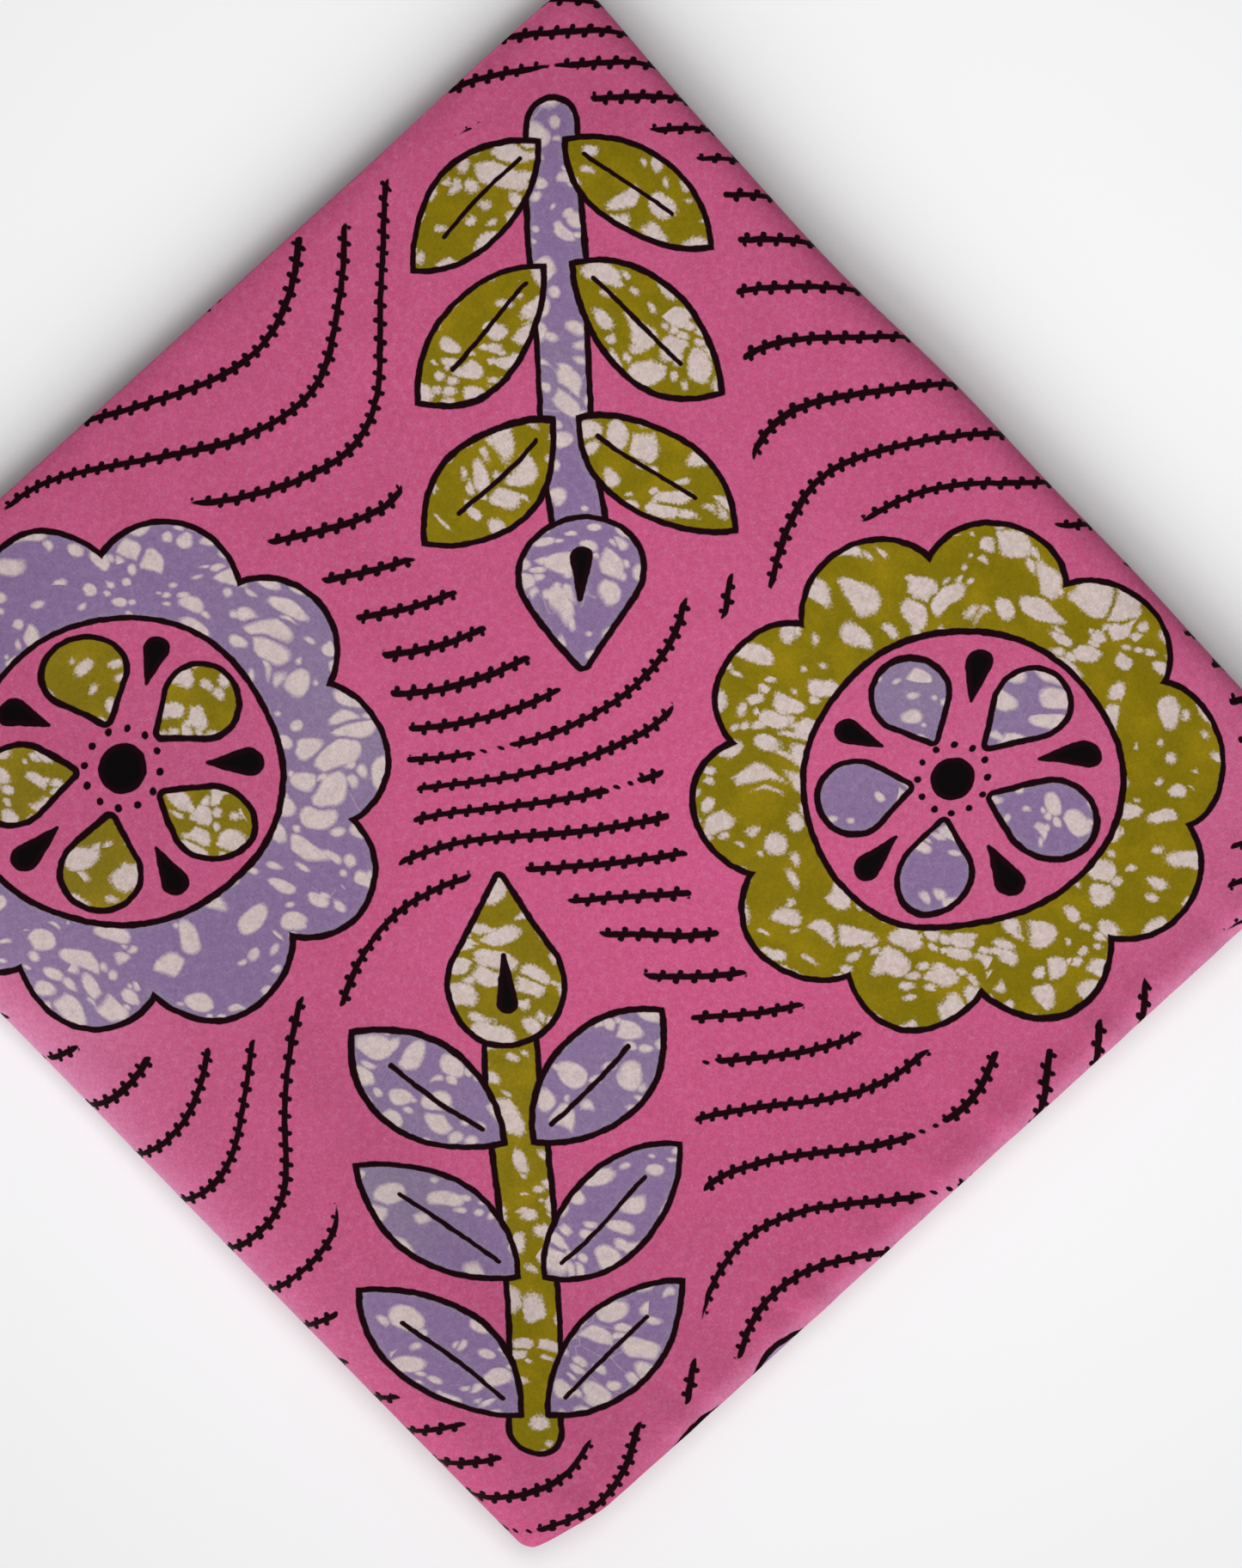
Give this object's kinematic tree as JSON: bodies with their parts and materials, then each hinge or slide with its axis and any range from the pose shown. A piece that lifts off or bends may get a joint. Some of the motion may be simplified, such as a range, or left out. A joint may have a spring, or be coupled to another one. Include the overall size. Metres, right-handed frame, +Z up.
{
  "type": "folded ankara wax-print cotton cloth",
  "caption": "Length of wax-print cotton folded flat into a near-square stack, with a soft rounded spine on one side and layered folded edges on the others.",
  "frame": {"origin": "on the surface it rests on, under the middle of the stack", "axes": "+Z up through the layers, +X from the soft spine fold to the opposite side, +Y across the folded strip, towards the side with the narrower rounding"},
  "size_m": [0.3739, 0.3728, 0.022],
  "materials": {
    "printed_cotton": "matt wax-print cotton, pink ground with lavender, olive, off-white and black",
    "printed_cotton_inside": "matt wax-print cotton, the same cloth on the folded layers inside"
  },
  "bodies": {
    "root": {"outer_wrap": "printed_cotton", "inner_layers": "printed_cotton_inside"}
  },
  "joints": []
}
